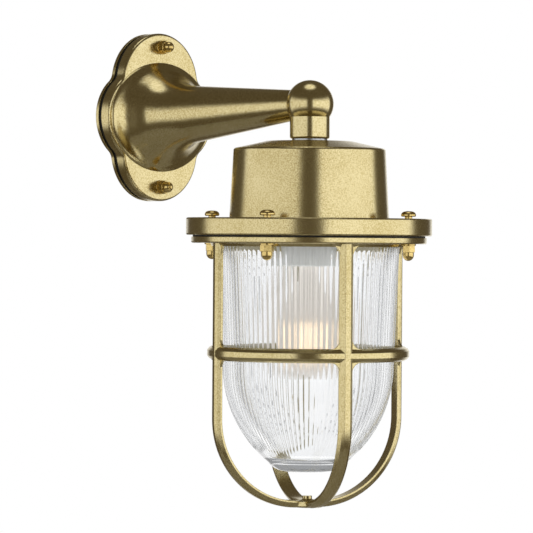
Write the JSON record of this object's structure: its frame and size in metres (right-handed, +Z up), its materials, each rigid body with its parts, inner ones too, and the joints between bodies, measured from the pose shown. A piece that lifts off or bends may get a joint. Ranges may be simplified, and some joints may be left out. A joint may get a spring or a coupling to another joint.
{
  "type": "ship lantern",
  "caption": "Brass wall-bracket ship lantern: flared hollow arm, capped head, ribbed well glass in a bolted cage, screw-in lamp.",
  "frame": {"origin": "centre of the wall plate's back face, on the wall plane", "axes": "+Y into the wall, so the arm leaves along -Y; +Z up; X across the plate"},
  "size_m": [0.165, 0.243, 0.3232],
  "materials": {
    "cast_brass": "tumbled natural brass, satin",
    "bright_brass": "turned brass, semi-bright",
    "zinc_steel": "zinc plated",
    "seal_rubber": "matt black",
    "terminal_plastic": "moulded",
    "white_ceramic": "glazed",
    "brown_wire": "insulation",
    "blue_wire": "insulation",
    "green_wire": "insulation",
    "clear_glass": "pressed, ribbed",
    "nickel_cap": "nickel plated",
    "lamp_insulator": "black vitrite",
    "lamp_glass": "clear",
    "filament": "lit, warm white"
  },
  "bodies": {
    "fixture": {"wall_plate": "cast_brass", "wall_gasket": "seal_rubber", "wall_studs": "bright_brass", "wall_washers": "bright_brass", "wall_cap_nuts": "bright_brass", "bracket": "cast_brass", "terminal_block": "terminal_plastic", "earth_screw": "bright_brass", "neck_washer": "zinc_steel", "stem_nipple": "zinc_steel", "stem_locknut": "zinc_steel", "cap": "cast_brass", "holder_bridge": "zinc_steel", "bridge_screws": "zinc_steel", "holder_screws": "zinc_steel", "holder_body": "white_ceramic", "holder_terminals": "bright_brass", "terminal_screws": "bright_brass", "holder_shell": "bright_brass", "holder_contact": "bright_brass", "lead_live": "brown_wire", "lead_neutral": "blue_wire", "lead_earth": "green_wire", "guard_screws": "bright_brass", "flange_gasket": "seal_rubber", "upper_seal": "seal_rubber"},
    "cage": {"guard": "cast_brass", "well_glass": "clear_glass", "lower_seal": "seal_rubber", "guard_washers": "bright_brass", "guard_cap_nuts": "bright_brass"},
    "lamp_carrier": {"lamp_contact": "nickel_cap"},
    "lamp": {"lamp_cap": "nickel_cap", "lamp_insulator": "lamp_insulator", "lamp_globe": "lamp_glass", "lamp_mount": "lamp_glass", "lamp_filaments": "filament"}
  },
  "joints": [
    {"name": "guard_drop", "type": "slide", "parent": "fixture", "child": "cage", "axis": [0, 0, -1], "range_m": [0, 0.15]},
    {"name": "lamp_draw", "type": "slide", "parent": "fixture", "child": "lamp_carrier", "axis": [0, 0, -1], "range_m": [0, 0.01815]},
    {"name": "lamp_turn", "type": "hinge", "parent": "lamp_carrier", "child": "lamp", "pos_m": [0, -0.1605, -0.12], "axis": [0, 0, -1], "range_deg": [0, 1800]}
  ],
  "couplings": [
    {"joint": "lamp_turn", "follows": "lamp_draw", "rad_per_m": 1731.4}
  ]
}
